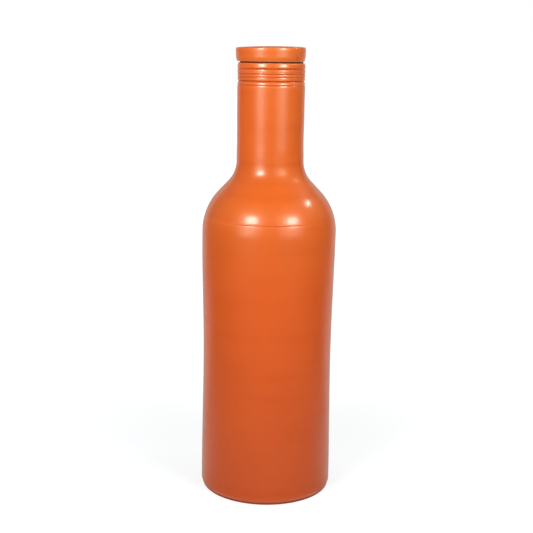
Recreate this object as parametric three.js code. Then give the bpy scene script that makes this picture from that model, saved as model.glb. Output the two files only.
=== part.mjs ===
// A fired-clay water bottle of about one litre, closed by a turned clay lid on rubber seals.
// The bottle stands on z = 0 with its axis on z. Sizes are in millimetres.
import * as THREE from "three";

// Clay body.
const BASE_DIAMETER = 89.6; // across the foot
const WAIST_DIAMETER = 87.5; // narrowest part of the body
const SHOULDER_DIAMETER = 89.8; // widest part of the bottle
const WAIST_HEIGHT = 93.8;
const SHOULDER_HEIGHT = 178.7; // widest line, where the shoulder starts to turn in
const WALL = 5.5;
const FLOOR = 8; // clay under the water
const FLOOR_FILLET = 7; // inside, between floor and wall
const FOOT_ROUND = 1.6; // outer edge of the foot
const FOOT_RING = 9; // flat ring that the bottle stands on
const FOOT_HOLLOW = 1.5; // height of the hollow inside that ring
const FOOT_SLOPE = 4; // width of the slope from the ring up to the hollow

// Shoulder and neck.
const SHOULDER_ROUND = 38.4; // outside radius of the shoulder
const NECK_FILLET = 19.3; // outside radius between shoulder and neck
const SHOULDER_SLOPE = THREE.MathUtils.degToRad(43.35); // lean of the shoulder from upright
const MOUTH_BORE = 32; // straight bore of the neck
const NECK_WALL = 6; // at the top of the neck
const NECK_FLARE = 0.3; // how much wider the neck is at its foot, on the radius
const NECK_LENGTH = 63.91; // from the end of the fillet to the lip
const LIP_OUTER_ROUND = 1.3;
const LIP_INNER_ROUND = 1.2;

// Turned grooves round the top of the neck, measured down from the lip to the groove's middle.
const GROOVES = [
  { below: 14.4, width: 0.9, depth: 0.2 },
  { below: 12.3, width: 2, depth: 0.8 },
  { below: 7.2, width: 1.5, depth: 0.5 },
  { below: 4.2, width: 1.8, depth: 0.5 },
];

// Luted seam: the body and the shoulder are thrown apart and stuck together with slip.
const SEAM_RISE = 9.9; // seam above the widest line
const SLIP_THICKNESS = 0.5;
const SLIP_RECESS = 0.4; // hairline left outside, where the slip was wiped back
const SLIP_BEAD = 1.5; // radius of the bead squeezed out inside
const SLIP_GAP = 0.3; // between the back of the bead and the wall

// Lid, a disc with a hollow plug below it.
const LID_THICKNESS = 9.5; // at the middle
const LID_CROWN = 0.7; // rise of the top from its rim to its middle
const LID_OVERHANG = 0.7; // past the neck, on the radius
const LID_TAPER = 0.4; // how much smaller the lid is at its lower edge, on the radius
const LID_TOP_ROUND = 1.5;
const LID_BOTTOM_ROUND = 1.7;
const PLUG_LENGTH = 24;
const PLUG_PLAY = 2; // between plug and bore, on the radius
const PLUG_WALL = 5.5;
const PLUG_CHAMFER = 1.5;
const PLUG_ROOF = 2; // plug left above its hollow, below the disc

// Rubber seals: a flat washer on the lip and two rings seated in the plug.
const WASHER_THICKNESS = 1;
const WASHER_LAP = 4.7; // past the bore, over the lip, on the radius
const RING_WIDTH = 4;
const RING_CROWN = 0.8; // bulge of the ring's outer face
const RING_SEAT = 1.2; // depth of the ring's seat in the plug
const RINGS_BELOW = { upper: 7, lower: 15.5 }; // below the disc, to the ring's middle
const SEAL_GAP = 0.3; // around each seal

// Fineness of the turned surfaces.
const FACETS = 48;
const LONG_STEPS = 4;
const BEND_STEPS = 6;
const ROUND_STEPS = 4;
const GROOVE_STEPS = 3;
const SAME_POINT = 1e-4; // outline points closer than this are one point

const clay = new THREE.MeshStandardMaterial({ color: 0xd9622b, roughness: 0.42, metalness: 0 });
const slip = new THREE.MeshStandardMaterial({ color: 0xc25526, roughness: 0.7, metalness: 0 });
const rubber = new THREE.MeshStandardMaterial({ color: 0x1f1d1c, roughness: 0.65, metalness: 0 });

const QUARTER = Math.PI / 2;
const at = (radius, height) => new THREE.Vector2(radius, height);

// Points of an arc in the (radius, height) plane, from one angle to another.
function arc(centre, radius, from, to, steps) {
  const curve = new THREE.EllipseCurve(centre.x, centre.y, radius, radius, from, to, to < from);
  return curve.getPoints(steps);
}

// A long side that leaves and arrives upright.
function swell(start, end) {
  const third = (end.y - start.y) / 3;
  const leave = at(start.x, start.y + third);
  const arrive = at(end.x, end.y - third);
  return new THREE.CubicBezierCurve(start, leave, arrive, end).getPoints(LONG_STEPS);
}

// A shallow arc between two heights: it cuts into the surface, or bulges out of it with a negative depth.
function scoop(surface, middle, width, depth, steps) {
  const deep = Math.abs(depth);
  const radius = (width * width / 4 + deep * deep) / (2 * deep);
  const spread = Math.asin(width / 2 / radius);
  return depth > 0
    ? arc(at(surface - deep + radius, middle), radius, Math.PI + spread, Math.PI - spread, steps)
    : arc(at(surface + deep - radius, middle), radius, -spread, spread, steps);
}

// A closed outline of (radius, height) points turned round the axis.
// The solid lies to the left of the outline.
function turned(name, outline, material) {
  const apart = (point, i) => i === 0 || point.distanceTo(outline[i - 1]) > SAME_POINT;
  const geometry = new THREE.LatheGeometry(outline.filter(apart), FACETS);
  geometry.rotateX(QUARTER);
  const mesh = new THREE.Mesh(geometry, material);
  mesh.name = name;
  return mesh;
}

// The shoulder's line: a round turning in, a straight slope and a fillet turning up into the neck.
// The two rounds shrink together where the slope leaves them too little room.
function shoulderLine(startRadius, endRadius, roundSize, filletSize) {
  const drop = startRadius - endRadius;
  const turn = 1 - Math.cos(SHOULDER_SLOPE);
  const fitting = Math.min(1, drop / ((roundSize + filletSize) * turn));
  const round = roundSize * fitting;
  const fillet = filletSize * fitting;
  const slope = (drop - (round + fillet) * turn) / Math.sin(SHOULDER_SLOPE);
  const rise = (round + fillet) * Math.sin(SHOULDER_SLOPE) + slope * Math.cos(SHOULDER_SLOPE);
  const roundCentre = at(startRadius - round, SHOULDER_HEIGHT);
  const filletCentre = at(endRadius + fillet, SHOULDER_HEIGHT + rise);
  const angleAt = (height) => Math.asin((height - SHOULDER_HEIGHT) / round);
  return {
    top: SHOULDER_HEIGHT + rise,
    radiusAt: (height) => roundCentre.x + round * Math.cos(angleAt(height)),
    below: (height) => arc(roundCentre, round, 0, angleAt(height), ROUND_STEPS),
    above: (height) => [
      ...arc(roundCentre, round, angleAt(height), SHOULDER_SLOPE, ROUND_STEPS),
      ...arc(filletCentre, fillet, Math.PI + SHOULDER_SLOPE, Math.PI, BEND_STEPS),
    ],
  };
}

const baseRadius = BASE_DIAMETER / 2;
const waistRadius = WAIST_DIAMETER / 2;
const shoulderRadius = SHOULDER_DIAMETER / 2;
const boreRadius = MOUTH_BORE / 2;
const neckRadius = boreRadius + NECK_WALL;

const outside = shoulderLine(shoulderRadius, neckRadius + NECK_FLARE, SHOULDER_ROUND, NECK_FILLET);
const inside = shoulderLine(shoulderRadius - WALL, boreRadius, SHOULDER_ROUND - WALL, NECK_FILLET + WALL);
const seamHeight = SHOULDER_HEIGHT + SEAM_RISE;
const lowerRim = seamHeight - SLIP_THICKNESS / 2;
const upperRim = seamHeight + SLIP_THICKNESS / 2;
const lipHeight = outside.top + NECK_LENGTH;

const plugRadius = boreRadius - PLUG_PLAY;
const seatRadius = plugRadius - RING_SEAT;
const discBottom = lipHeight + WASHER_THICKNESS;
const discTop = discBottom + LID_THICKNESS;
const plugBottom = discBottom - PLUG_LENGTH;

// Thrown body: foot, floor and wall up to the seam.
function lowerBody() {
  const hollowRadius = baseRadius - FOOT_ROUND - FOOT_RING;
  const outer = [
    at(0, FOOT_HOLLOW),
    at(hollowRadius - FOOT_SLOPE, FOOT_HOLLOW),
    at(hollowRadius, 0),
    ...arc(at(baseRadius - FOOT_ROUND, FOOT_ROUND), FOOT_ROUND, -QUARTER, 0, ROUND_STEPS),
    ...swell(at(baseRadius, FOOT_ROUND), at(waistRadius, WAIST_HEIGHT)),
    ...swell(at(waistRadius, WAIST_HEIGHT), at(shoulderRadius, SHOULDER_HEIGHT)),
    ...outside.below(lowerRim),
  ];
  const fillet = at(baseRadius - WALL - FLOOR_FILLET, FLOOR + FLOOR_FILLET);
  const inner = [
    at(0, FLOOR),
    ...arc(fillet, FLOOR_FILLET, -QUARTER, 0, ROUND_STEPS),
    ...swell(at(baseRadius - WALL, fillet.y), at(waistRadius - WALL, WAIST_HEIGHT)),
    ...swell(at(waistRadius - WALL, WAIST_HEIGHT), at(shoulderRadius - WALL, SHOULDER_HEIGHT)),
    ...inside.below(lowerRim),
  ];
  return turned("lower_body", [...outer, ...inner.reverse()], clay);
}

// Thrown upper section: shoulder above the seam, neck, grooves and lip.
function shoulderAndNeck() {
  const grooves = GROOVES.flatMap((groove) =>
    scoop(neckRadius, lipHeight - groove.below, groove.width, groove.depth, GROOVE_STEPS),
  );
  const outerRound = at(neckRadius - LIP_OUTER_ROUND, lipHeight - LIP_OUTER_ROUND);
  const innerRound = at(boreRadius + LIP_INNER_ROUND, lipHeight - LIP_INNER_ROUND);
  const outline = [
    ...outside.above(upperRim),
    ...grooves,
    ...arc(outerRound, LIP_OUTER_ROUND, 0, QUARTER, ROUND_STEPS),
    ...arc(innerRound, LIP_INNER_ROUND, QUARTER, Math.PI, ROUND_STEPS),
    ...inside.above(upperRim).reverse(),
  ];
  return turned("shoulder_and_neck", [...outline, outline[0]], clay);
}

// Slip that sticks the two sections together: a thin web between the rims and a bead on the inside.
function seamSlip() {
  const webRadius = outside.radiusAt(upperRim) - SLIP_RECESS;
  const backRadius = inside.radiusAt(seamHeight + SLIP_BEAD) - SLIP_GAP;
  const outline = [
    at(webRadius, lowerRim),
    at(webRadius, upperRim),
    at(backRadius, upperRim),
    ...arc(at(backRadius, seamHeight), SLIP_BEAD, QUARTER, 3 * QUARTER, BEND_STEPS),
    at(backRadius, lowerRim),
  ];
  return turned("seam_slip", [...outline, outline[0]], slip);
}

// The lid's softened top edge and its slightly crowned top, from the side to the axis.
function lidTop(discRadius) {
  const roundCentre = at(discRadius - LID_TOP_ROUND, discTop - LID_CROWN - LID_TOP_ROUND);
  const crownRadius = (roundCentre.x ** 2 + LID_CROWN ** 2) / (2 * LID_CROWN);
  const spread = Math.asin(roundCentre.x / crownRadius);
  return [
    ...arc(roundCentre, LID_TOP_ROUND, 0, QUARTER, ROUND_STEPS),
    ...arc(at(0, discTop - crownRadius), crownRadius, QUARTER - spread, QUARTER, ROUND_STEPS),
  ];
}

// Lid: the disc that shows above the neck and the hollow plug that carries the rings.
function lid() {
  const discRadius = neckRadius + LID_OVERHANG;
  const edgeRound = at(discRadius - LID_TAPER - LID_BOTTOM_ROUND, discBottom + LID_BOTTOM_ROUND);
  const hollowRadius = plugRadius - PLUG_WALL;
  const seats = [RINGS_BELOW.lower, RINGS_BELOW.upper].flatMap((below) => {
    const middle = discBottom - below;
    const half = RING_WIDTH / 2 + SEAL_GAP;
    return [
      at(plugRadius, middle - half),
      at(seatRadius, middle - half),
      at(seatRadius, middle + half),
      at(plugRadius, middle + half),
    ];
  });
  const outline = [
    at(0, discBottom - PLUG_ROOF),
    at(hollowRadius, discBottom - PLUG_ROOF),
    at(hollowRadius, plugBottom),
    at(plugRadius - PLUG_CHAMFER, plugBottom),
    at(plugRadius, plugBottom + PLUG_CHAMFER),
    ...seats,
    at(plugRadius, discBottom),
    ...arc(edgeRound, LID_BOTTOM_ROUND, -QUARTER, 0, ROUND_STEPS),
    ...lidTop(discRadius),
  ];
  return turned("lid", outline, clay);
}

// Flat washer between the disc and the lip.
function lidWasher() {
  const inner = plugRadius + SEAL_GAP;
  const outer = boreRadius + WASHER_LAP;
  const outline = [at(inner, lipHeight), at(outer, lipHeight), at(outer, discBottom), at(inner, discBottom)];
  return turned("lid_washer", [...outline, outline[0]], rubber);
}

// Ring stretched into its seat on the plug. Its crowned face grips the bore.
function plugRing(place) {
  const middle = discBottom - RINGS_BELOW[place];
  const inner = seatRadius + SEAL_GAP;
  const shoulder = boreRadius - SEAL_GAP - RING_CROWN;
  const outline = [
    at(inner, middle - RING_WIDTH / 2),
    ...scoop(shoulder, middle, RING_WIDTH, -RING_CROWN, ROUND_STEPS),
    at(inner, middle + RING_WIDTH / 2),
  ];
  return turned(`plug_ring_${place}`, [...outline, outline[0]], rubber);
}

const bottle = new THREE.Group();
bottle.add(lowerBody(), seamSlip(), shoulderAndNeck());

const seals = new THREE.Group();
seals.add(lidWasher(), plugRing("upper"), plugRing("lower"));

const stopper = new THREE.Group();
stopper.add(seals, lid());

const part = new THREE.Group();
part.add(bottle, stopper);

export default part;
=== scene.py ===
# %% [markdown]
# # A burnished terracotta water bottle
# The real bottle is thrown on a potter's wheel in two sections, a body and a shoulder with its neck.
# They are stuck together with slip, turned with a metal rib, rubbed smooth with a stone and fired.
# A turned clay lid closes it, and its plug carries rubber seals.
# Everything on it is round, so the lesson uses one idea again and again: draw half of the outline
# with a template, then spin it once round the upright axis, as the wheel does.

# %% Load the packed bottle
import math

import bmesh
import bpy
from mathutils import Matrix, Vector, noise
from mathutils.geometry import interpolate_bezier


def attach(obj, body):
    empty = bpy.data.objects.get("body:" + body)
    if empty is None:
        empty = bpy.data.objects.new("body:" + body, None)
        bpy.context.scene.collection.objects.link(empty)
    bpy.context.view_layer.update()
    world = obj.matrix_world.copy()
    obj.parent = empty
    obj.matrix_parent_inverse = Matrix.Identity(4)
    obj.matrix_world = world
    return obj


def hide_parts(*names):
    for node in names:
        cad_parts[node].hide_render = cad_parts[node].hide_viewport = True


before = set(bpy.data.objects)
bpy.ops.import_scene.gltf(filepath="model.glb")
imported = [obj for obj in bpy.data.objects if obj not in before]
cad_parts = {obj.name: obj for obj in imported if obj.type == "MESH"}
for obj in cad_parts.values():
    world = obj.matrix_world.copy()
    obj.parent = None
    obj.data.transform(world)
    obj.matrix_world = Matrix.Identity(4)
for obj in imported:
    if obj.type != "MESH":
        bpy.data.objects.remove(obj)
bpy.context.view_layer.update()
MM = 0.001

# %% [markdown]
# ## The potter's template
# A potter cuts a template from sheet metal and holds it against the turning clay.
# Here it is a chain of edges in the XZ plane: x is the distance from the axis and z the height.
# The chain could be typed in as a list of points, but it is easier to read as strokes. A straight
# stroke extrudes the last vertex, an arc spins it round a centre, and a bend follows a Bezier curve.
# The clay always lies to the left of the stroke. Lengths in a stroke are millimetres, and the last
# number says in how many steps it is drawn. A bend has two handles, one where it leaves and one where
# it arrives, each measured from its own end. A swell is a bend that leaves and arrives upright.

# %% Template strokes


class Template:
    def __init__(self, radius, height):
        self.mesh = bmesh.new()
        self.rubbed = self.mesh.verts.layers.float.new("rubbed")
        self.dusty = self.mesh.verts.layers.float.new("dusty")
        self.tip = self.mesh.verts.new((radius * MM, 0, height * MM))

    def to(self, point):
        grown = bmesh.ops.extrude_vert_indiv(self.mesh, verts=[self.tip])
        self.tip = grown["verts"][0]
        self.tip.co = point

    def line(self, radius, height, steps=1):
        begin = self.tip.co.copy()
        end = Vector((radius * MM, 0, height * MM))
        for step in range(1, steps + 1):
            self.to(begin.lerp(end, step / steps))

    def arc(self, centre_radius, centre_height, degrees, steps):
        swung = bmesh.ops.spin(
            self.mesh,
            geom=[self.tip],
            cent=(centre_radius * MM, 0, centre_height * MM),
            axis=(0, -1, 0),
            angle=math.radians(degrees),
            steps=steps,
        )
        self.tip = next(v for v in swung["geom_last"] if isinstance(v, bmesh.types.BMVert))

    def bend(self, radius, height, leave, arrive, steps):
        begin = self.tip.co.copy()
        end = Vector((radius * MM, 0, height * MM))
        first = begin + Vector((leave[0] * MM, 0, leave[1] * MM))
        second = end + Vector((arrive[0] * MM, 0, arrive[1] * MM))
        for point in interpolate_bezier(begin, first, second, end, steps + 1)[1:]:
            self.to(point)

    def swell(self, radius, height, steps):
        third = (height - self.tip.co.z / MM) / 3
        self.bend(radius, height, (0, third), (0, -third), steps)


print("template strokes:", [name for name in vars(Template) if not name.startswith("_")])

# %% [markdown]
# ## Wear along the edges
# Handling rubs proud edges paler, and the grooves are painted darker: partly dust and slip that stay
# in them, partly painted shade. The clay's material needs to know where those are. Each point of the
# template is compared with the middle of the points about a millimetre before and after it: a proud
# point stands out of the line, and a sunk one lies behind it. The result is kept on the vertices, and
# the spin copies it all the way round.

# %% Proud and sunk points
WEAR_REACH = 1.1 * MM
WEAR_FULL = 0.22 * MM


def clamp(share):
    return min(1.0, max(0.0, share))


def walk(points, start, direction):
    left = WEAR_REACH
    here = points[start]
    index = start
    while 0 <= index + direction < len(points):
        index += direction
        stride = (points[index] - here).length
        if stride >= left:
            return here.lerp(points[index], left / stride)
        left -= stride
        here = points[index]
    return here


def mark_wear(template):
    chain = list(template.mesh.verts)
    points = [v.co.copy() for v in chain]
    for index, vert in enumerate(chain):
        before = walk(points, index, -1)
        after = walk(points, index, 1)
        along = (after - before).normalized()
        outward = Vector((along.z, 0, -along.x))
        proud = (vert.co - (before + after) / 2).dot(outward) / WEAR_FULL
        vert[template.rubbed] = clamp(proud)
        vert[template.dusty] = clamp(-proud)


print("wear is measured over", WEAR_REACH / MM, "mm")

# %% [markdown]
# ## Turning on the wheel
# bmesh's spin turns the template once round Z. A full spin meets its own start, so use_merge joins
# the last copy to the first, and merging doubles closes the poles on the axis. Spin can leave the
# faces pointing inwards, so the normals are recalculated on the closed shape.
# No hand-thrown pot is a perfect circle. A slow noise moves the wall in and out by less than a tenth
# of a millimetre, and a weaker ripple follows the wheel. The shoulder sits a hair to the right of the
# foot. All this depends on place alone, so the two sections still meet at their seam.

# %% Spin, wobble and finish a piece
SEGMENTS = 192
SHARP = math.radians(50)
SAME_PLACE = 1e-6
WOBBLE = 0.08 * MM
WOBBLE_SPREAD = 16.0
RIPPLE_SHARE = 0.22
RIPPLE_SPREAD = Vector((8, 8, 210))
SHOULDER_SHIFT = 0.2 * MM
SHIFT_MIDDLE = 195 * MM
SHIFT_REACH = 45 * MM


def ease(share):
    return 0.5 - 0.5 * math.cos(math.pi * share)


def wobble(mesh):
    for vert in mesh.verts:
        drift = noise.noise(vert.co * WOBBLE_SPREAD)
        ripple = noise.noise(vert.co * RIPPLE_SPREAD)
        radius = math.hypot(vert.co.x, vert.co.y)
        if radius > SAME_PLACE:
            push = (drift + RIPPLE_SHARE * ripple) * WOBBLE / radius
            vert.co.x += vert.co.x * push
            vert.co.y += vert.co.y * push
        apart = clamp(abs(vert.co.z - SHIFT_MIDDLE) / SHIFT_REACH)
        vert.co.x += SHOULDER_SHIFT * ease(1.0 - apart)


def turn(template):
    mesh = template.mesh
    mark_wear(template)
    bmesh.ops.spin(
        mesh,
        geom=mesh.verts[:] + mesh.edges[:],
        cent=(0, 0, 0),
        axis=(0, 0, 1),
        angle=math.tau,
        steps=SEGMENTS,
        use_merge=True,
    )
    bmesh.ops.remove_doubles(mesh, verts=mesh.verts[:], dist=SAME_PLACE)
    bmesh.ops.recalc_face_normals(mesh, faces=mesh.faces[:])
    return mesh


def piece(name, mesh, finishes, body, node):
    for face in mesh.faces:
        face.smooth = True
    for edge in mesh.edges:
        edge.smooth = edge.calc_face_angle(0) < SHARP
    data = bpy.data.meshes.new(name)
    mesh.to_mesh(data)
    mesh.free()
    made = bpy.data.objects.new(name, data)
    bpy.context.scene.collection.objects.link(made)
    for finish in finishes:
        data.materials.append(finish)
    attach(made, body)
    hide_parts(node)
    print(name, "has", len(data.vertices), "vertices and", len(data.polygons), "faces")
    return made


print("one turn of the wheel takes", SEGMENTS, "steps")

# %% [markdown]
# ## A short hand for shader nodes
# Every finish below is a small graph of nodes. The first helper makes one node, sets its options, and
# for each socket either stores a value or joins it to the socket that is handed in. The others stand
# on it. A spread maps one range smoothly onto another, which is 0 to 1 if none is given. A bump has a
# strength and a depth in metres, and can be laid on the bump before it.

# %% Node helpers


def node(tree, kind, sockets=None, **options):
    made = tree.nodes.new("ShaderNode" + kind)
    for option, value in options.items():
        setattr(made, option, value)
    for socket, value in (sockets or {}).items():
        if isinstance(value, bpy.types.NodeSocket):
            tree.links.new(value, made.inputs[socket])
        else:
            made.inputs[socket].default_value = value
    return made


def stretched_noise(tree, place, stretch, detail, roughness=0.55):
    mapped = node(tree, "Mapping", {"Vector": place, "Scale": stretch})
    return node(
        tree,
        "TexNoise",
        {"Vector": mapped.outputs[0], "Scale": 1.0, "Detail": detail, "Roughness": roughness},
    ).outputs["Fac"]


def spread(tree, value, low, high, new_low=0.0, new_high=1.0):
    return node(
        tree,
        "MapRange",
        {"Value": value, 1: low, 2: high, 3: new_low, 4: new_high},
        interpolation_type="SMOOTHSTEP",
    ).outputs[0]


def blend(tree, amount, first, second, kind="MIX"):
    mixed = node(tree, "Mix", {0: amount, 6: first, 7: second}, data_type="RGBA", blend_type=kind)
    return mixed.outputs[2]


def maths(tree, operation, first, second):
    return node(tree, "Math", {0: first, 1: second}, operation=operation).outputs[0]


def bump(tree, height, strength, depth, under=None):
    sockets = {"Height": height, "Strength": strength, "Distance": depth}
    if under is not None:
        sockets["Normal"] = under
    return node(tree, "Bump", sockets).outputs[0]


def new_finish(name):
    made = bpy.data.materials.new(name)
    made.use_nodes = True
    tree = made.node_tree
    shader = tree.nodes["Principled BSDF"]
    place = node(tree, "TexCoord").outputs["Object"]
    return made, tree, shader, place


print("node helpers:", [f.__name__ for f in (node, stretched_noise, spread, blend, maths, bump)])

# %% [markdown]
# ## Burnished terracotta
# The outside was rubbed with a stone while the clay was leather hard. That leaves an orange-red skin
# with a satin gloss, long faint streaks round the pot, and hair-fine turning lines.
# Painted light and shade: the clay is painted from a darker deep red at the foot to orange at the
# neck, the lid is painted the palest, and the left of the neck and the lid is painted a little
# brighter. The streaks follow the wheel, so their noise is stretched: slow across X and Y, quick along
# Z. A slow mottle stands for uneven firing and tiny specks for sand in the clay.
# The rubbed marks from the template lighten the edges, and the dust-and-shade marks darken the grooves
# with dust and painted shade.

# %% Burnished colour
# Painted light and shade: by height the clay is painted darker and redder at the foot and paler and
# more orange up to the lid.
FOOT_CLAY = (0.61, 0.079, 0.0105, 1)
BODY_CLAY = (0.675, 0.098, 0.0122, 1)
NECK_CLAY = (0.635, 0.112, 0.0145, 1)
LID_CLAY = (0.635, 0.127, 0.0200, 1)
LEFT_LIGHT_TINT = (1.13, 1.03, 1.0, 1)
STREAK_TINT = (0.94, 0.90, 0.88, 1)
MOTTLE_TINT = (1.03, 1.06, 1.10, 1)
SPECK_AND_SHADE_RED = (0.25, 0.030, 0.009, 1)
EDGE_PALE = (0.84, 0.19, 0.045, 1)
GROOVE_SHADE_SHARE = 0.40
# Heights in metres where each colour begins and where it has taken over.
BODY_HEIGHTS = (0.0, 0.150)
NECK_HEIGHTS = (0.130, 0.205)
LID_HEIGHTS = (0.2895, 0.2905)
# The painted brighter patch in metres, to the left of the axis and upwards.
LEFT_LIGHT_SIDE = (0.0, -0.018)
LEFT_LIGHT_HEIGHTS = (0.195, 0.240)
# How often each pattern changes in a metre, along X, Y and Z.
STREAKS = (9, 9, 150)
MOTTLE = (26, 26, 34)
SAND = (1500, 1500, 1500)
# What part of a pattern's noise counts, and then how much it may tint.
MOTTLE_RANGE = (0.32, 0.70)
STREAK_RANGE = (0.50, 0.30, 0, 0.5)
SAND_RANGE = (0.70, 0.80, 0, 0.35)
WEAR_RANGE = (0.35, 0.6, 0.1, 0.4)


def clay_by_height(tree, height):
    body = blend(tree, spread(tree, height, *BODY_HEIGHTS), FOOT_CLAY, BODY_CLAY)
    neck = blend(tree, spread(tree, height, *NECK_HEIGHTS), body, NECK_CLAY)
    return blend(tree, spread(tree, height, *LID_HEIGHTS), neck, LID_CLAY)


def painted_left_light(tree, split):
    left = spread(tree, split["X"], *LEFT_LIGHT_SIDE)
    return maths(tree, "MULTIPLY", left, spread(tree, split["Z"], *LEFT_LIGHT_HEIGHTS))


def burnished_colour(tree, place, streaks, sand, dusty):
    split = node(tree, "SeparateXYZ", {0: place}).outputs
    mottle = stretched_noise(tree, place, MOTTLE, 3)
    rubbed = node(tree, "Attribute", attribute_name="rubbed").outputs["Fac"]
    by_height = clay_by_height(tree, split["Z"])
    # Painted light: the left of the neck and the lid is painted brighter.
    left_lit = blend(tree, painted_left_light(tree, split), by_height, LEFT_LIGHT_TINT, "MULTIPLY")
    mottled = blend(tree, spread(tree, mottle, *MOTTLE_RANGE), left_lit, MOTTLE_TINT, "MULTIPLY")
    dark_streaks = spread(tree, streaks, *STREAK_RANGE)
    streaked = blend(tree, dark_streaks, mottled, STREAK_TINT, "MULTIPLY")
    specked = blend(tree, spread(tree, sand, *SAND_RANGE), streaked, SPECK_AND_SHADE_RED)
    # Painted shade and dust: sunk points and grooves are painted a darker red.
    shaded_grooves = blend(tree, maths(tree, "MULTIPLY", dusty, GROOVE_SHADE_SHARE), specked, SPECK_AND_SHADE_RED)
    worn = maths(tree, "MULTIPLY", rubbed, spread(tree, streaks, *WEAR_RANGE))
    return blend(tree, worn, shaded_grooves, EDGE_PALE)


print("clay from the foot to the lid:", [c[:3] for c in (FOOT_CLAY, BODY_CLAY, NECK_CLAY, LID_CLAY)])

# %% [markdown]
# ## The gloss of a rubbed pot
# A stone polishes the tops of the grain and leaves the hollows dull. Two lobes show that well: a
# coat gives the tight highlights, and under it the clay itself has a wide soft sheen.
# Low on the right of the neck a thumb held the pot while it was rubbed, and the skin stayed dull
# there. The mark is a soft box in Object coordinates, so it turns with the bottle. Dusty hollows are
# dull too, and so is the lid's top. That top isn't level, because the lid is thicker on its right, so
# the height where it starts leans with it.

# %% Polished and dull places
COAT_WEIGHT = 0.8
THUMB_DULLS = 0.93
DUST_DULLS = (0.4, 1.6)
# The sides of the thumb's box and the lid's top, in metres: from polished to dull.
THUMB_LEFT = (0.001, 0.006)
THUMB_BACK = (-0.010, -0.016)
THUMB_LOW = (0.207, 0.213)
THUMB_HIGH = (0.239, 0.229)
LID_TOP = (0.2991, 0.2994)
WEDGE = math.radians(-0.75)


def thumb_mark(tree, place):
    split = node(tree, "SeparateXYZ", {0: place}).outputs
    across = spread(tree, split["X"], *THUMB_LEFT)
    front = spread(tree, split["Y"], *THUMB_BACK)
    above = spread(tree, split["Z"], *THUMB_LOW)
    below = spread(tree, split["Z"], *THUMB_HIGH)
    side = maths(tree, "MULTIPLY", across, front)
    return maths(tree, "MULTIPLY", side, maths(tree, "MULTIPLY", above, below))


def top_of_lid(tree, place):
    split = node(tree, "SeparateXYZ", {0: place}).outputs
    lean = maths(tree, "MULTIPLY", split["X"], math.sin(WEDGE))
    return spread(tree, maths(tree, "ADD", split["Z"], lean), *LID_TOP)


def polish(tree, place, dusty, lid_top):
    held = maths(tree, "MULTIPLY", thumb_mark(tree, place), THUMB_DULLS)
    hollow = spread(tree, dusty, *DUST_DULLS)
    dull = maths(tree, "ADD", maths(tree, "ADD", held, hollow), lid_top)
    bright = maths(tree, "MAXIMUM", maths(tree, "SUBTRACT", 1.0, dull), 0.0)
    return maths(tree, "MULTIPLY", bright, COAT_WEIGHT)


print("the coat weighs", COAT_WEIGHT, "where the stone polished the clay")

# %% [markdown]
# ## The skin under the stone
# The stone leaves small facets, the rib hair-fine lines and the sand a fine grain. They are too small
# to model, so three bumps carry them, each laid on the one before. The coat fills the grain, so its
# own normal takes only the facets and the lines.

# %% Burnished finish
COAT_ROUGHNESS = 0.20
SHEEN_LEVEL = 0.45
SHEEN_TINT = (0.85, 0.85, 0.55, 1)
SHEEN_RANGE = (0.3, 0.7, 0.37, 0.47)
DULL_ROUGHNESS = 0.85
HAIRLINES = (26, 26, 1500)
STONE_FACETS = (300, 300, 700)
FACET_BUMP = (0.3, 0.0001)
HAIRLINE_BUMP = (0.3, 0.00003)
SAND_BUMP = (0.3, 0.00002)


def satin(shader):
    shader.inputs["Specular IOR Level"].default_value = SHEEN_LEVEL
    shader.inputs["Specular Tint"].default_value = SHEEN_TINT
    shader.inputs["Coat Roughness"].default_value = COAT_ROUGHNESS


def burnished_finish():
    finish, tree, shader, place = new_finish("burnished_terracotta")
    streaks = stretched_noise(tree, place, STREAKS, 4)
    hairlines = stretched_noise(tree, place, HAIRLINES, 2)
    sand = stretched_noise(tree, place, SAND, 1)
    dusty = node(tree, "Attribute", attribute_name="dusty").outputs["Fac"]
    colour = burnished_colour(tree, place, streaks, sand, dusty)
    tree.links.new(colour, shader.inputs["Base Color"])
    lid_top = top_of_lid(tree, place)
    sheen = spread(tree, streaks, *SHEEN_RANGE)
    flat = maths(tree, "MULTIPLY", lid_top, DULL_ROUGHNESS)
    tree.links.new(maths(tree, "MAXIMUM", sheen, flat), shader.inputs["Roughness"])
    satin(shader)
    tree.links.new(polish(tree, place, dusty, lid_top), shader.inputs["Coat Weight"])
    facets = stretched_noise(tree, place, STONE_FACETS, 2)
    faceted = bump(tree, facets, *FACET_BUMP)
    lined = bump(tree, hairlines, *HAIRLINE_BUMP, faceted)
    grained = bump(tree, sand, *SAND_BUMP, lined)
    tree.links.new(grained, shader.inputs["Normal"])
    tree.links.new(lined, shader.inputs["Coat Normal"])
    return finish


burnished = burnished_finish()
print(burnished.name, "has", len(burnished.node_tree.nodes), "nodes")

# %% [markdown]
# ## Raw terracotta
# Inside the bottle, under its foot and on the plug the clay was never rubbed. It is paler, dull and
# a little sandy, with soft throwing rings left by the potter's fingers.

# %% Raw finish
RAW_MID = (0.56, 0.150, 0.048, 1)
RAW_PALE = (0.66, 0.220, 0.085, 1)
RAW_GRIT = (0.33, 0.075, 0.026, 1)
THROWING_RINGS = (12, 12, 190)
DUST = (60, 60, 60)
GRIT = (900, 900, 900)
DUST_RANGE = (0.35, 0.65)
GRIT_RANGE = (0.62, 0.76, 0, 0.6)
RAW_ROUGHNESS = (0.3, 0.7, 0.72, 0.88)
RING_BUMP = (0.6, 0.0004)
GRIT_BUMP = (0.6, 0.0001)


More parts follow.
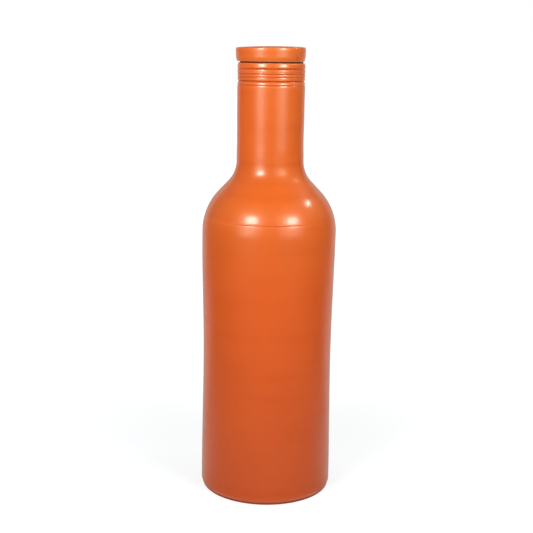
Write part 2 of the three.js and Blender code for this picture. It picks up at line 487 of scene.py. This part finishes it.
def raw_finish():
    finish, tree, shader, place = new_finish("raw_terracotta")
    rings = stretched_noise(tree, place, THROWING_RINGS, 2)
    dust = stretched_noise(tree, place, DUST, 4)
    grit = stretched_noise(tree, place, GRIT, 2)
    dusted = blend(tree, spread(tree, dust, *DUST_RANGE), RAW_MID, RAW_PALE)
    gritty = blend(tree, spread(tree, grit, *GRIT_RANGE), dusted, RAW_GRIT)
    tree.links.new(gritty, shader.inputs["Base Color"])
    tree.links.new(spread(tree, dust, *RAW_ROUGHNESS), shader.inputs["Roughness"])
    ringed = bump(tree, rings, *RING_BUMP)
    tree.links.new(bump(tree, grit, *GRIT_BUMP, ringed), shader.inputs["Normal"])
    return finish


raw = raw_finish()
print(raw.name, "has", len(raw.node_tree.nodes), "nodes")

# %% [markdown]
# ## Dried slip and rubber
# Slip is clay thinned with water. Where it was left in the seam it dried dark and dull, and where
# a thumb wiped it flush it was burnished with the rest. A mark on the vertices says which is which.
# The seals are soft black rubber, dull, with a bloom of clay dust from the bore.

# %% Slip and rubber finishes
SLIP_DARK = (0.40, 0.056, 0.010, 1)
SLIP_LIGHT = (0.56, 0.090, 0.016, 1)
RUBBER_BLACK = (0.012, 0.011, 0.011, 1)
RUBBER_DUST = (0.075, 0.038, 0.024, 1)
SMEAR = (120, 120, 700)
SMEAR_RANGE = (0.35, 0.65)
# From dried slip to slip that was wiped and burnished.
SLIP_ROUGHNESS = (0, 1, 0.8, 0.42)
SMEAR_STRENGTH = (0, 1, 0.5, 0.0)
SMEAR_DEPTH = 0.0002
BLOOM = (140, 140, 300)
BLOOM_RANGE = (0.5, 0.75)
RUBBER_ROUGHNESS = (0.35, 0.7, 0.5, 0.75)
RUBBER_SKIN = (2200, 2200, 2200)
RUBBER_BUMP = (0.3, 0.00003)


def slip_finish():
    finish, tree, shader, place = new_finish("dried_slip")
    smear = stretched_noise(tree, place, SMEAR, 3)
    wiped = node(tree, "Attribute", attribute_name="wiped").outputs["Fac"]
    dried = blend(tree, spread(tree, smear, *SMEAR_RANGE), SLIP_DARK, SLIP_LIGHT)
    streaks = stretched_noise(tree, place, STREAKS, 4)
    sand = stretched_noise(tree, place, SAND, 1)
    clay = burnished_colour(tree, place, streaks, sand, 0.0)
    tree.links.new(blend(tree, wiped, dried, clay), shader.inputs["Base Color"])
    tree.links.new(spread(tree, wiped, *SLIP_ROUGHNESS), shader.inputs["Roughness"])
    tree.links.new(maths(tree, "MULTIPLY", wiped, COAT_WEIGHT), shader.inputs["Coat Weight"])
    satin(shader)
    uneven = spread(tree, wiped, *SMEAR_STRENGTH)
    tree.links.new(bump(tree, smear, uneven, SMEAR_DEPTH), shader.inputs["Normal"])
    return finish


def rubber_finish():
    finish, tree, shader, place = new_finish("seal_rubber")
    bloom = stretched_noise(tree, place, BLOOM, 4)
    skin = stretched_noise(tree, place, RUBBER_SKIN, 1)
    dusted = blend(tree, spread(tree, bloom, *BLOOM_RANGE), RUBBER_BLACK, RUBBER_DUST)
    tree.links.new(dusted, shader.inputs["Base Color"])
    tree.links.new(spread(tree, bloom, *RUBBER_ROUGHNESS), shader.inputs["Roughness"])
    tree.links.new(bump(tree, skin, *RUBBER_BUMP), shader.inputs["Normal"])
    return finish


slip = slip_finish()
rubber = rubber_finish()
print("finishes:", [m.name for m in (burnished, raw, slip, rubber)])

# %% [markdown]
# ## The thrown body
# The body is a tall cup with a gentle waist. It stands on a ring, and the middle of its foot is
# hollowed a little so that it can't rock. The template starts on the axis under the foot, runs up
# the outside to the seam, over the rim and back down inside to the axis.
# Just above the table the potter trimmed the wall in with a knife, in two cuts. They face down, so the
# upper one mirrors the table, and the lower one shows as a dark line, painted darker partly for dirt
# and partly as painted shade where it meets the table. The rim's outer edge is rounded, which is why
# the seam shows a bright line under its dark one.

# %% Body template
# Pairs are a radius and a height, but FOOT_FLAT is two radii.
FOOT_RADIUS = 44.8
FOOT_FLAT = (34.2, 43.9)
FOOT_HOLLOW = 1.5
HOLLOW_LEVEL = 28.5
FOOT_LOWER_CUT = (44.32, 1.5)
FOOT_EDGE = 3.0
FOOT_UPRIGHT = 0.5
WAIST = (43.75, 93.8)
WIDEST = (44.9, 178.7)
WALL = 5.5
FLOOR_TOP = 8
FLOOR_FILLET = 7
SHOULDER_ROUND = 38.4
SHOULDER_CENTRE = (WIDEST[0] - SHOULDER_ROUND, WIDEST[1])
LOWER_RIM = 188.5
UPPER_RIM = 188.7
LOWER_RIM_ROUND = 0.45
LOWER_RIM_INSET = 0.22


def shoulder_angle(height, inset=0.0):
    return math.degrees(math.asin((height - WIDEST[1]) / (SHOULDER_ROUND - inset)))


def shoulder_radius(height, inset=0.0):
    angle = math.radians(shoulder_angle(height, inset))
    return SHOULDER_CENTRE[0] + (SHOULDER_ROUND - inset) * math.cos(angle)


def body_template():
    line = Template(0, FOOT_HOLLOW)
    line.line(HOLLOW_LEVEL, FOOT_HOLLOW, 6)
    line.bend(FOOT_FLAT[0], 0, (2.6, 0), (-2.4, 0), 8)
    line.line(FOOT_FLAT[1], 0, 4)
    line.line(*FOOT_LOWER_CUT, 8)
    line.line(FOOT_RADIUS, FOOT_EDGE, 5)
    line.line(FOOT_RADIUS, FOOT_EDGE + FOOT_UPRIGHT, 2)
    line.swell(*WAIST, 28)
    line.swell(*WIDEST, 28)
    line.arc(*SHOULDER_CENTRE, shoulder_angle(LOWER_RIM - LOWER_RIM_ROUND), 10)
    rim_edge = shoulder_radius(LOWER_RIM) - LOWER_RIM_INSET
    line.bend(rim_edge, LOWER_RIM, (-0.07, 0.25), (0.12, 0), 5)
    line.line(shoulder_radius(LOWER_RIM, WALL), LOWER_RIM, 3)
    line.arc(*SHOULDER_CENTRE, -shoulder_angle(LOWER_RIM, WALL), 8)
    line.swell(WAIST[0] - WALL, WAIST[1], 24)
    fillet_top = FLOOR_TOP + FLOOR_FILLET
    line.swell(FOOT_RADIUS - WALL, fillet_top, 24)
    line.arc(FOOT_RADIUS - WALL - FLOOR_FILLET, fillet_top, -90, 8)
    line.line(0, FLOOR_TOP, 6)
    return line


print("the wall is", WALL, "mm thick and the widest radius", WIDEST[0], "mm")

# %% [markdown]
# ## The seam
# The seam shows only in front and at the back. At the sides, where the hands held the shoulder, it
# was wiped flush. So the rounded rims are spun all the way round first, and then their points are
# pushed out to the smooth shoulder wherever the seam is wiped.

# %% Wiping the seam
SEAM = (LOWER_RIM + UPPER_RIM) / 2
SEAM_REACH = 0.7
SEAM_TURN = math.radians(1.5)
SEAM_FADE = (0.25, 0.75)
FLUSH = 0.001


def wiped_at(vert):
    around = math.atan2(vert.co.x, -vert.co.y) - SEAM_TURN
    share = (math.cos(2 * around) - SEAM_FADE[0]) / (SEAM_FADE[1] - SEAM_FADE[0])
    return 1.0 - clamp(share)


def wipe_seam(mesh):
    for vert in mesh.verts:
        height = vert.co.z / MM
        if abs(height - SEAM) > SEAM_REACH:
            continue
        radius = math.hypot(vert.co.x, vert.co.y) / MM
        depth = shoulder_radius(height) - FLUSH - radius
        if 0 < depth < SEAM_REACH:
            grow = 1 + depth * wiped_at(vert) / radius
            vert.co.x *= grow
            vert.co.y *= grow


print("the seam is at", SEAM, "mm")

# %% [markdown]
# ## Outside and inside
# One mesh carries two finishes. A face is raw where it looks towards the axis, or where it is the
# floor inside or the underside of the foot. All the rest was burnished.
# In front, the lower cut of the foot gets a dust-and-shade mark as well, which paints it darker:
# partly dirt, partly painted shade where it meets the table.

# %% Body piece
INWARD = -0.25
LEVEL = 0.5
FLOOR_BELOW = 20
FLOOR_WITHIN = 41.5
FOOT_SHADE_AND_SOIL = 2.2
FOOT_MARK_FADE = 0.2
FOOT_MARK_FRONT = (0.5, 0.85)


def looks_in(face):
    middle = face.calc_center_median()
    radial = Vector((middle.x, middle.y, 0))
    return radial.length > SAME_PLACE and face.normal.dot(radial.normalized()) < INWARD


def shade_and_soil_foot(mesh):
    dusty = mesh.verts.layers.float["dusty"]
    for vert in mesh.verts:
        below = FOOT_LOWER_CUT[1] - vert.co.z / MM
        radius = math.hypot(vert.co.x, vert.co.y)
        if below > 0 and radius > FOOT_FLAT[0] * MM:
            faces_front = (-vert.co.y / radius - FOOT_MARK_FRONT[0]) / (FOOT_MARK_FRONT[1] - FOOT_MARK_FRONT[0])
            # Painted shade and dirt: the mark darkens the lower cut in front and fades towards the
            # sides.
            vert[dusty] = FOOT_SHADE_AND_SOIL * clamp(faces_front) * clamp(below / FOOT_MARK_FADE)


def make_body():
    mesh = turn(body_template())
    shade_and_soil_foot(mesh)
    wipe_seam(mesh)
    wobble(mesh)
    for face in mesh.faces:
        middle = face.calc_center_median()
        level = abs(face.normal.z) > LEVEL and middle.z < FLOOR_BELOW * MM
        floor = level and math.hypot(middle.x, middle.y) < FLOOR_WITHIN * MM
        face.material_index = 1 if looks_in(face) or floor else 0
    return piece("thrown_body", mesh, [burnished, raw], "bottle", "lower_body")


make_body()

# %% [markdown]
# ## The collar's grooves
# Under the lip the potter turned a collar of grooves. They could be bevelled into the edges one by
# one. It is simpler to draw the collar as a dense stroke and then push its points in where each
# groove was cut. The tool went in from above, so a groove has a sloping upper side, and below it the
# clay rolls out again as a rounded bead.

# %% Collar grooves
LIP = 289.483
BORE = 16.0
OUTSIDE = 1.2 * BORE
# Each groove: its upper edge, its deepest line and its lower edge below the lip, and its depth.
GROOVES = [
    (2.9, 4.0, 5.9, 0.50),
    (5.6, 6.0, 6.8, 0.12),
    (6.5, 7.1, 8.5, 0.38),
    (8.4, 9.0, 10.5, 0.30),
    (10.9, 11.7, 13.9, 0.80),
    (13.6, 14.1, 15.9, 0.28),
]


def groove_depth(below):
    total = 0.0
    for upper, deepest, lower, depth in GROOVES:
        if upper < below <= deepest:
            share = (below - upper) / (deepest - upper)
            total += depth * ease(share)
        elif deepest < below < lower:
            share = (lower - below) / (lower - deepest)
            total += depth * (1 - math.sqrt(1 - share * share))
    return total


def cut_grooves(line):
    for vert in line.mesh.verts:
        if vert.co.x > OUTSIDE * MM:
            vert.co.x -= groove_depth(LIP - vert.co.z / MM) * MM


print("the collar has", len(GROOVES), "grooves")

# %% [markdown]
# ## The thrown shoulder and neck
# The upper section starts on the seam. Its shoulder is a round, a short straight slope and a fillet
# that turns up into a nearly straight neck. Over the collar the lip is rounded, and the bore runs
# straight down until it opens into the shoulder.

# %% Neck piece
# Pairs are a radius and a height. The lip's pairs are a radius and a depth below its top.
SLOPE = 43.35
NECK_FILLET = 19.3
NECK_FOOT = (22.3, 225.573)
NECK_THIN = (22.06, 240)
NECK_FULL = (22.2, 257)
COLLAR_FOOT = (22.2, 273.6)
COLLAR_RIDGE = (22.02, 277.5)
LIP_WIDEST = (22.2, 2.7)
LIP_SLOPED = (21.88, 0.75)
LIP_ROUND = 1.0
BORE_FOOT = 226.42
MOUTH_ROUND = 1.2
UPPER_RIM_ROUND = 0.15


def neck_template():
    rad = math.radians(SLOPE)
    fillet_centre = (NECK_FOOT[0] + NECK_FILLET, NECK_FOOT[1])
    fillet_start = (
        fillet_centre[0] - NECK_FILLET * math.cos(rad),
        fillet_centre[1] - NECK_FILLET * math.sin(rad),
    )
    inner_round = SHOULDER_ROUND - WALL
    inner_top = (
        SHOULDER_CENTRE[0] + inner_round * math.cos(rad),
        SHOULDER_CENTRE[1] + inner_round * math.sin(rad),
    )
    line = Template(shoulder_radius(UPPER_RIM, WALL), UPPER_RIM)
    line.line(shoulder_radius(UPPER_RIM) - UPPER_RIM_ROUND, UPPER_RIM, 3)
    eased = UPPER_RIM + UPPER_RIM_ROUND
    line.bend(shoulder_radius(eased), eased, (0.08, 0), (0.03, -0.08), 3)
    line.arc(*SHOULDER_CENTRE, SLOPE - shoulder_angle(eased), 18)
    line.line(*fillet_start, 6)
    line.arc(*fillet_centre, -SLOPE, 24)
    line.swell(*NECK_THIN, 8)
    line.swell(*NECK_FULL, 8)
    line.line(*COLLAR_FOOT, 8)
    line.swell(*COLLAR_RIDGE, 32)
    line.swell(LIP_WIDEST[0], LIP - LIP_WIDEST[1], 72)
    line.bend(LIP_SLOPED[0], LIP - LIP_SLOPED[1], (0, 0.4), (0.12, -0.7), 14)
    line.bend(LIP_SLOPED[0] - LIP_ROUND, LIP, (-0.08, 0.45), (0.5, 0), 10)
    line.line(BORE + MOUTH_ROUND, LIP, 3)
    line.arc(BORE + MOUTH_ROUND, LIP - MOUTH_ROUND, 90, 8)
    line.line(BORE, BORE_FOOT, 24)
    line.arc(BORE + NECK_FILLET + WALL, BORE_FOOT, SLOPE, 16)
    line.line(*inner_top, 5)
    line.arc(*SHOULDER_CENTRE, shoulder_angle(UPPER_RIM, WALL) - SLOPE, 10)
    cut_grooves(line)
    return line


def make_neck():
    mesh = turn(neck_template())
    wipe_seam(mesh)
    wobble(mesh)
    for face in mesh.faces:
        face.material_index = 1 if looks_in(face) else 0
    return piece("thrown_neck", mesh, [burnished, raw], "bottle", "shoulder_and_neck")


make_neck()

# %% [markdown]
# ## The slip in the seam
# Slip glues the two rims. Outside it was wiped back, so the seam shows as a dark hairline. Inside,
# where no tool reaches, it was squeezed out into a soft bead.

# %% Slip ring
SLIP_EDGE = 0.16
BEAD = 1.5
BEAD_GAP = 0.3


def make_slip():
    back = shoulder_radius(SEAM + BEAD, WALL) - BEAD_GAP
    edge = shoulder_radius(UPPER_RIM) - SLIP_EDGE
    line = Template(back, LOWER_RIM)
    line.line(edge, LOWER_RIM, 2)
    line.bend(edge, UPPER_RIM, (-0.06, 0.1), (-0.06, -0.1), 4)
    line.line(back, UPPER_RIM, 2)
    line.line(back, SEAM + BEAD, 2)
    line.arc(back, SEAM, 180, 14)
    line.line(back, LOWER_RIM, 2)
    mesh = turn(line)
    wipe_seam(mesh)
    wiped = mesh.verts.layers.float.new("wiped")
    rubbed = mesh.verts.layers.float["rubbed"]
    for vert in mesh.verts:
        vert[wiped] = wiped_at(vert)
        vert[rubbed] = 0.0
    wobble(mesh)
    return piece("seam_slip_ring", mesh, [slip], "bottle", "seam_slip")


make_slip()

# %% [markdown]
# ## The lid
# The lid is a thick disc with a hollow plug under it. The disc leans in a little towards its lower
# edge, which is well rounded and hangs a hair below the top of the washer. Just under its top edge
# it leans back, which catches the lamps in a thin line. Two square seats in the plug hold the rings.
# Like the real one, the disc isn't quite true: it is a little thicker on its right, it sits a little
# to the left of the plug, and low on its right side it has a small scar.

# %% Lid piece
# Pairs are a radius and a height, but DISC_LAP is two radii.
DISC_BOTTOM = 290.483
DISC_EDGE = 290.2
DISC_LAP = (21.4, 21.6)
DISC_ROUNDED = (22.66, 293.2)
DISC_LEANING = (22.83, 296.9)
DISC_TURNED = (22.71, 298.5)
DISC_RIM = 299.283
RIM_RADIUS = 22.05
DISC_TOP = 299.983
PLUG_RADIUS = 14.0
PLUG_BOTTOM = 266.483
PLUG_ROUND = 1.7
HOLLOW_RADIUS = 8.5
HOLLOW_TOP = 288.483
HOLLOW_ROUND = 1.3
HOLLOW_MOUTH = 0.8
SEAT_RADIUS = 12.8
RING_MIDDLES = {"lower": 274.983, "upper": 283.483}
SEAT_HALF = 2.3
SEAT_EASE = 0.2
SLACK = 0.1
WEDGE_FOOT = 2.2
DISC_SHIFT = -0.6 * MM
SCAR = Vector((17.1, -14.5, 292.4)) * MM
SCAR_REACH = 1.25 * MM
SCAR_DEPTH = 0.34 * MM
SCAR_FADES = 0.01


def lid_template():
    line = Template(0, HOLLOW_TOP)
    line.line(HOLLOW_RADIUS - HOLLOW_ROUND, HOLLOW_TOP, 4)
    line.bend(HOLLOW_RADIUS, HOLLOW_TOP - HOLLOW_ROUND, (0.8, 0), (0, 0.8), 5)
    line.line(HOLLOW_RADIUS, PLUG_BOTTOM + HOLLOW_MOUTH, 10)
    line.bend(HOLLOW_RADIUS + HOLLOW_MOUTH, PLUG_BOTTOM, (0, -0.45), (-0.45, 0), 4)
    line.line(PLUG_RADIUS - PLUG_ROUND, PLUG_BOTTOM, 2)
    line.bend(PLUG_RADIUS, PLUG_BOTTOM + PLUG_ROUND, (0.9, 0), (0, -0.9), 5)
    for middle in RING_MIDDLES.values():
        low, high = middle - SEAT_HALF, middle + SEAT_HALF
        line.line(PLUG_RADIUS, low - SEAT_EASE, 4)
        line.line(PLUG_RADIUS - SEAT_EASE, low)
        line.line(SEAT_RADIUS, low, 2)
        line.line(SEAT_RADIUS, high, 3)
        line.line(PLUG_RADIUS - SEAT_EASE, high, 2)
        line.line(PLUG_RADIUS, high + SEAT_EASE)
    line.line(PLUG_RADIUS, DISC_BOTTOM, 5)
    line.line(DISC_LAP[0], DISC_BOTTOM, 6)
    line.bend(DISC_LAP[1], DISC_EDGE, (0, -0.25), (-0.12, 0), 4)
    line.bend(*DISC_ROUNDED, (0.3, 0.03), (-0.2, -1.6), 12)
    line.line(*DISC_LEANING, 8)
    line.bend(*DISC_TURNED, (0.03, 0.4), (0.05, -0.4), 8)
    line.bend(RIM_RADIUS, DISC_RIM, (-0.06, 0.42), (0.4, -0.03), 8)
    line.bend(0, DISC_TOP, (-6, 0.55), (7, 0), 24)
    return line


def scar(mesh):
    dusty = mesh.verts.layers.float["dusty"]
    for vert in mesh.verts:
        share = math.exp(-((vert.co - SCAR).length_squared) / SCAR_REACH**2)
        if share > SCAR_FADES:
            inward = Vector((-vert.co.x, -vert.co.y, 0)).normalized()
            vert.co += inward * (SCAR_DEPTH * share)
            # The scar is painted darker too, partly dust and partly painted shade in its dent.
            vert[dusty] = max(vert[dusty], share)


def make_lid():
    mesh = turn(lid_template())
    wobble(mesh)
    for face in mesh.faces:
        middle = face.calc_center_median()
        below = middle.z < (DISC_BOTTOM + SLACK) * MM
        within = math.hypot(middle.x, middle.y) < DISC_LAP[0] * MM
        face.material_index = 1 if below and within else 0
    scar(mesh)
    disc = [v for v in mesh.verts if v.co.z > (DISC_EDGE - SLACK) * MM]
    bmesh.ops.translate(mesh, verts=disc, vec=(DISC_SHIFT, 0, 0))
    bmesh.ops.rotate(
        mesh,
        verts=[v for v in disc if v.co.z > (DISC_BOTTOM + WEDGE_FOOT) * MM],
        cent=(0, 0, DISC_RIM * MM),
        matrix=Matrix.Rotation(WEDGE, 3, "Y"),
    )
    return piece("stopper_lid", mesh, [burnished, raw], "lid", "lid")


make_lid()

# %% [markdown]
# ## The seals
# The washer is punched from a flat sheet, so only its corners are eased. The two rings are moulded,
# with a crowned face towards the bore.

# %% Washer and rings
WASHER_INNER = 14.3
WASHER_OUTER = 20.7
WASHER_TOP = DISC_BOTTOM
RING_INNER = 13.1
RING_OUTER = 15.7
RING_HALF = 2.0
RING_CROWN = 1.2
EASE = 0.3


def make_washer():
    line = Template(WASHER_INNER + EASE, LIP)
    line.line(WASHER_OUTER - EASE, LIP, 3)
    line.bend(WASHER_OUTER, LIP + EASE, (EASE / 2, 0), (0, -EASE / 2), 3)
    line.line(WASHER_OUTER, WASHER_TOP - EASE)
    line.bend(WASHER_OUTER - EASE, WASHER_TOP, (0, EASE / 2), (EASE / 2, 0), 3)
    line.line(WASHER_INNER + EASE, WASHER_TOP, 3)
    line.bend(WASHER_INNER, WASHER_TOP - EASE, (-EASE / 2, 0), (0, EASE / 2), 3)
    line.line(WASHER_INNER, LIP + EASE)
    line.bend(WASHER_INNER + EASE, LIP, (0, -EASE / 2), (-EASE / 2, 0), 3)
    return piece("lip_washer", turn(line), [rubber], "seal", "lid_washer")


def make_ring(place):
    middle = RING_MIDDLES[place]
    low, high = middle - RING_HALF, middle + RING_HALF
    line = Template(RING_INNER + EASE, low)
    line.line(RING_OUTER - RING_CROWN, low, 3)
    line.bend(RING_OUTER, middle, (0.8, 0), (0, -1.0), 8)
    line.bend(RING_OUTER - RING_CROWN, high, (0, 1.0), (0.8, 0), 8)
    line.line(RING_INNER + EASE, high, 3)
    line.bend(RING_INNER, high - EASE, (-EASE / 2, 0), (0, EASE / 2), 3)
    line.line(RING_INNER, low + EASE, 2)
    line.bend(RING_INNER + EASE, low, (0, -EASE / 2), (-EASE / 2, 0), 3)
    return piece(f"{place}_ring", turn(line), [rubber], "lid", f"plug_ring_{place}")


make_washer()
for place in RING_MIDDLES:
    make_ring(place)

# %% [markdown]
# ## The floor in the clay's mirror
# The bottle stands on a white sweep, and satin clay mirrors it along both its sides. So the floor has
# a glow for glossy rays alone: as pale behind the bottle and round its foot as the real sweep was,
# dark where the front of the foot touches it, and dim to the left, the right and the front.

# %% Mirrored glow
NEAR_GLOW = 0.36
SIDE_GLOW = 0.02
BACK_GLOW = 0.56
CLOSE_GLOW = 1.0
# Distances from the axis in metres.
NEAR_FADES = (0.06, 0.45)
FAR_BEGINS = (0.4, 0.9)
CLOSE_FADES = (0.046, 0.050)
TOUCHING = (0.0453, 0.0446)
# Directions from the axis: 1 is straight behind the bottle and -1 straight in front of it.
BESIDE = (-0.6, 0.3, 0.9, 1.5)
NEAR_BACK = (0.15, 0.60)
FAR_BACK = (0.50, 0.80)
IN_FRONT = (-0.35, -0.70)


def mirrored_glow(tree, place, away):
    depth = node(tree, "SeparateXYZ", {0: place}).outputs["Y"]
    behind = maths(tree, "DIVIDE", depth, away)
    beside = spread(tree, behind, *BESIDE)
    near = maths(tree, "MULTIPLY", spread(tree, away, *NEAR_FADES, NEAR_GLOW, SIDE_GLOW), beside)
    near_back = spread(tree, behind, *NEAR_BACK, 0.0, BACK_GLOW)
    far_back = spread(tree, behind, *FAR_BACK, 0.0, BACK_GLOW)
    far = spread(tree, away, *FAR_BEGINS)
    back = node(tree, "Mix", {0: far, 2: near_back, 3: far_back}).outputs[0]
    in_front = spread(tree, behind, *IN_FRONT)
    close = maths(tree, "MULTIPLY", spread(tree, away, *CLOSE_FADES, CLOSE_GLOW, 0.0), in_front)
    touching = maths(tree, "MULTIPLY", spread(tree, away, *TOUCHING), in_front)
    brightest = maths(tree, "MAXIMUM", maths(tree, "MAXIMUM", near, back), close)
    return maths(tree, "MULTIPLY", brightest, maths(tree, "SUBTRACT", 1.0, touching))


print("the clay mirrors a glow of", BACK_GLOW, "behind it and", SIDE_GLOW, "beside it")

# %% [markdown]
# ## Floor
# A very large plane does for the sweep. To the camera it glows by itself, a little less than white
# close to the foot, and the lamps add the rest. Where the bottle keeps the lamps off, the soft shadow
# stays. Further out the glow is white, and no edge shows. Other rays find plain card, which throws a
# little light back up.

# %% Floor sweep
FLOOR_HALF = 6.0
CARD_GREY = (0.245, 0.30, 0.36, 1)
PURE_WHITE = (1, 1, 1, 1)
WARM_WHITE = (1.0, 0.97, 0.90, 1)
SHADOW_GLOW = 0.75
SHADOW_FADES = (0.07, 0.45)


def floor_finish():
    finish = bpy.data.materials.new("white_card")
    finish.use_nodes = True
    tree = finish.node_tree
    tree.nodes.remove(tree.nodes["Principled BSDF"])
    place = node(tree, "TexCoord").outputs["Object"]
    away = node(tree, "VectorMath", {0: place}, operation="LENGTH").outputs["Value"]
    rays = node(tree, "LightPath").outputs
    seen = maths(tree, "MAXIMUM", rays["Is Camera Ray"], rays["Is Transmission Ray"])
    glow = maths(tree, "MULTIPLY", seen, spread(tree, away, *SHADOW_FADES, SHADOW_GLOW, 1.0))
    white = node(tree, "Emission", {"Color": PURE_WHITE, "Strength": glow}).outputs[0]
    card = node(tree, "BsdfDiffuse", {"Color": CARD_GREY}).outputs[0]
    lit = node(tree, "AddShader", {0: card, 1: white}).outputs[0]
    mirror = mirrored_glow(tree, place, away)
    mirrored = node(tree, "Emission", {"Color": WARM_WHITE, "Strength": mirror}).outputs[0]
    whole = node(tree, "MixShader", {0: rays["Is Glossy Ray"], 1: lit, 2: mirrored}).outputs[0]
    tree.links.new(whole, tree.nodes["Material Output"].inputs["Surface"])
    return finish


def make_floor():
    mesh = bmesh.new()
    bmesh.ops.create_grid(mesh, x_segments=1, y_segments=1, size=FLOOR_HALF)
    data = bpy.data.meshes.new("floor")
    mesh.to_mesh(data)
    mesh.free()
    floor = bpy.data.objects.new("floor", data)
    bpy.context.scene.collection.objects.link(floor)
    data.materials.append(floor_finish())
    return floor


print("floor is", make_floor().dimensions.x, "m across")

# %% [markdown]
# ## Surroundings
# The sweep rises a little behind the bottle, and the room mirrored in front of it is dim. That
# matters on a satin pot: the low sweep gives the pale rims along both sides of the shoulder, and the
# dim room keeps the front deep in colour. Two bright walls behind, on the left and on the right, send
# soft light round both sides, and the camera itself sees white everywhere.

# %% World
WALL_FILL = 4.9
LEFT_BRIGHTER = -0.12
WALL_TINT = (1.0, 0.78, 0.60, 1)
ROOM_MIRRORED = 0.02
SWEEP = 0.54
# Parts of the view's direction: how far behind the sweep begins, and how high it ends.
SWEEP_BEHIND = (0.64, 0.82)
SWEEP_TOP = (0.42, 0.58)


def make_world():
    world = bpy.data.worlds.new("studio")
    bpy.context.scene.world = world
    world.use_nodes = True
    tree = world.node_tree
    towards = node(tree, "TexCoord").outputs["Generated"]
    split = node(tree, "SeparateXYZ", {0: towards}).outputs
    behind = spread(tree, split["Y"], *SWEEP_BEHIND)
    low = spread(tree, split["Z"], *SWEEP_TOP, SWEEP, ROOM_MIRRORED)
    mirrored = maths(tree, "MAXIMUM", maths(tree, "MULTIPLY", behind, low), ROOM_MIRRORED)
    rays = node(tree, "LightPath").outputs
    seen = maths(tree, "MAXIMUM", rays["Is Camera Ray"], rays["Is Transmission Ray"])
    aside = node(tree, "Math", {0: split["X"]}, operation="ABSOLUTE").outputs[0]
    uneven = maths(tree, "ADD", aside, maths(tree, "MULTIPLY", split["X"], LEFT_BRIGHTER))
    walls = maths(tree, "MULTIPLY", maths(tree, "MAXIMUM", split["Y"], 0.0), uneven)
    fill = maths(tree, "MULTIPLY", rays["Is Diffuse Ray"], maths(tree, "MULTIPLY", walls, WALL_FILL))
    gloss = maths(tree, "MULTIPLY", rays["Is Glossy Ray"], mirrored)
    sky = tree.nodes["Background"]
    tint = blend(tree, rays["Is Diffuse Ray"], WARM_WHITE, WALL_TINT)
    tree.links.new(blend(tree, seen, tint, PURE_WHITE), sky.inputs["Color"])
    strength = maths(tree, "MAXIMUM", maths(tree, "MAXIMUM", fill, gloss), seen)
    tree.links.new(strength, sky.inputs["Strength"])
    return world


print("world:", make_world().name)

# %% [markdown]
# ## Lamps
# The highlights tell where the lamps stood. Two oval soft boxes, wider than tall, are in front, to the
# left and right of the camera and above the shoulder. A small one is on the right, a little behind.
# Round each front box and below it two larger, dimmer panels glow, one inside the other. They give
# the soft edges of the highlights and the two streaks down the neck. All the lamps are a little warm.
# Each lamp is turned to look at the bottle with to_track_quat.

# %% Soft boxes
LOOK_AT = Vector((0, 0, 0.195))
# Each lamp: its shape, its place and its size in metres, and its power in watts.
LAMPS = {
    "left_soft_box": ("ELLIPSE", (-0.306, -0.476, 0.488), (0.23, 0.16), 1.94),
    "right_soft_box": ("ELLIPSE", (0.379, -0.424, 0.470), (0.23, 0.16), 1.80),
    "side_soft_box": ("ELLIPSE", (0.479, 0.078, 0.597), (0.11, 0.04), 0.58),
    "left_inner_panel": ("RECTANGLE", (-0.322, -0.471, 0.370), (0.22, 0.40), 1.00),
    "left_outer_panel": ("RECTANGLE", (-0.322, -0.471, 0.370), (0.46, 0.46), 0.70),
    "right_inner_panel": ("RECTANGLE", (0.346, -0.454, 0.370), (0.22, 0.40), 0.65),
    "right_outer_panel": ("RECTANGLE", (0.346, -0.454, 0.370), (0.46, 0.46), 0.72),
}


def soft_box(name, shape, place, size, watts):
    light = bpy.data.lights.new(name, "AREA")
    light.shape = shape
    light.size, light.size_y = size
    light.energy = watts
    light.color = WARM_WHITE[:3]
    lamp = bpy.data.objects.new(name, light)
    lamp.location = place
    lamp.rotation_euler = (LOOK_AT - Vector(place)).to_track_quat("-Z", "Y").to_euler()
    bpy.context.scene.collection.objects.link(lamp)
    return lamp


for lamp_name, lamp_facts in LAMPS.items():
    soft_box(lamp_name, *lamp_facts)
print("lamps:", list(LAMPS))

# %% [markdown]
# ## Camera
# The photograph was taken from about the height of the lid, looking down a little, with the camera
# turned slightly, so that the bottle leans to the right by less than a degree.

# %% Camera
CAMERA_PLACE = (-0.00123, -0.680, 0.298)
LOOKS_DOWN = 11.988
CAMERA_PITCH = math.radians(90 - LOOKS_DOWN)
CAMERA_ROLL = math.radians(0.893)
CAMERA_LENS = 69.105
CAMERA_SENSOR = 36.0
NEAREST_SEEN = 0.01

camera_data = bpy.data.cameras.new("camera")
camera_data.sensor_width = CAMERA_SENSOR
camera_data.lens = CAMERA_LENS
camera_data.clip_start = NEAREST_SEEN
camera = bpy.data.objects.new("camera", camera_data)
camera.location = CAMERA_PLACE
pitched = Matrix.Rotation(CAMERA_PITCH, 3, "X")
camera.rotation_euler = (pitched @ Matrix.Rotation(CAMERA_ROLL, 3, "Z")).to_euler()
bpy.context.scene.collection.objects.link(camera)
bpy.context.scene.camera = camera
bpy.context.scene.view_settings.view_transform = "Standard"
print("camera lens", camera_data.lens, "mm")

# %% [markdown]
# The dressed bottle has to keep the packed bottle's size.
